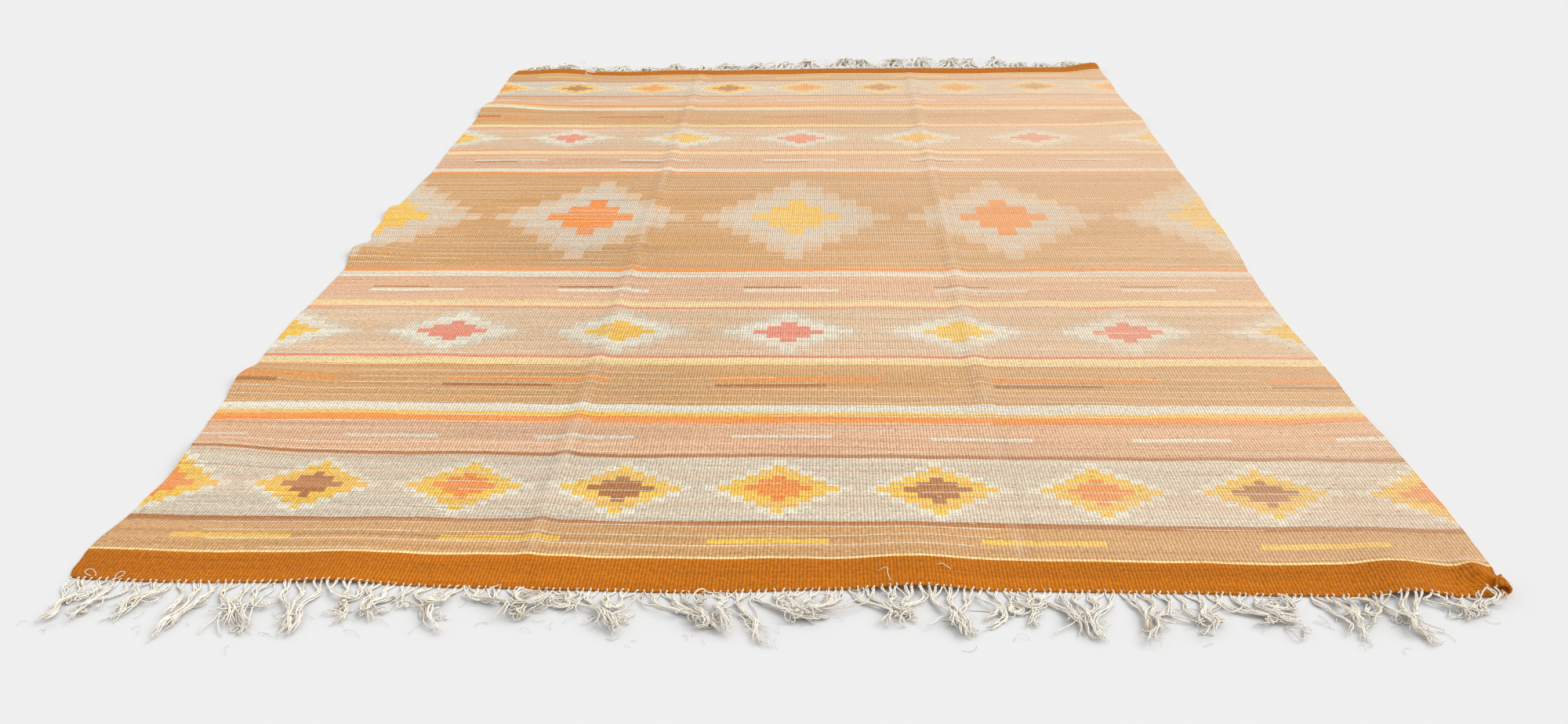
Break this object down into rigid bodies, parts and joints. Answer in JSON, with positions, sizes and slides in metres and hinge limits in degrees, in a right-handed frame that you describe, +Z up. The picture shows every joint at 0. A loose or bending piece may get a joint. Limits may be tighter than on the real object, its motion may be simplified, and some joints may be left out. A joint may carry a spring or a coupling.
{
  "type": "flatweave rug",
  "caption": "Large rectangular flat-woven wool rug lying flat on the floor, with uneven selvedges, fold creases and a gathered warp fringe at both ends.",
  "frame": {"origin": "on the floor, under the middle of the cloth as cut", "axes": "+X across the rug, to the right seen from the near end; +Y along the rug to the far end; +Z up"},
  "size_m": [2.028, 3.2437, 0.022],
  "materials": {
    "woven_wool": "matt ribbed wool flatweave in tan, sand, ivory, ochre, orange and rust",
    "warp_yarn": "matt undyed plied cotton yarn"
  },
  "bodies": {
    "root": {"rug_cloth": "woven_wool", "fringe_near": "warp_yarn", "fringe_far": "warp_yarn"}
  },
  "joints": []
}
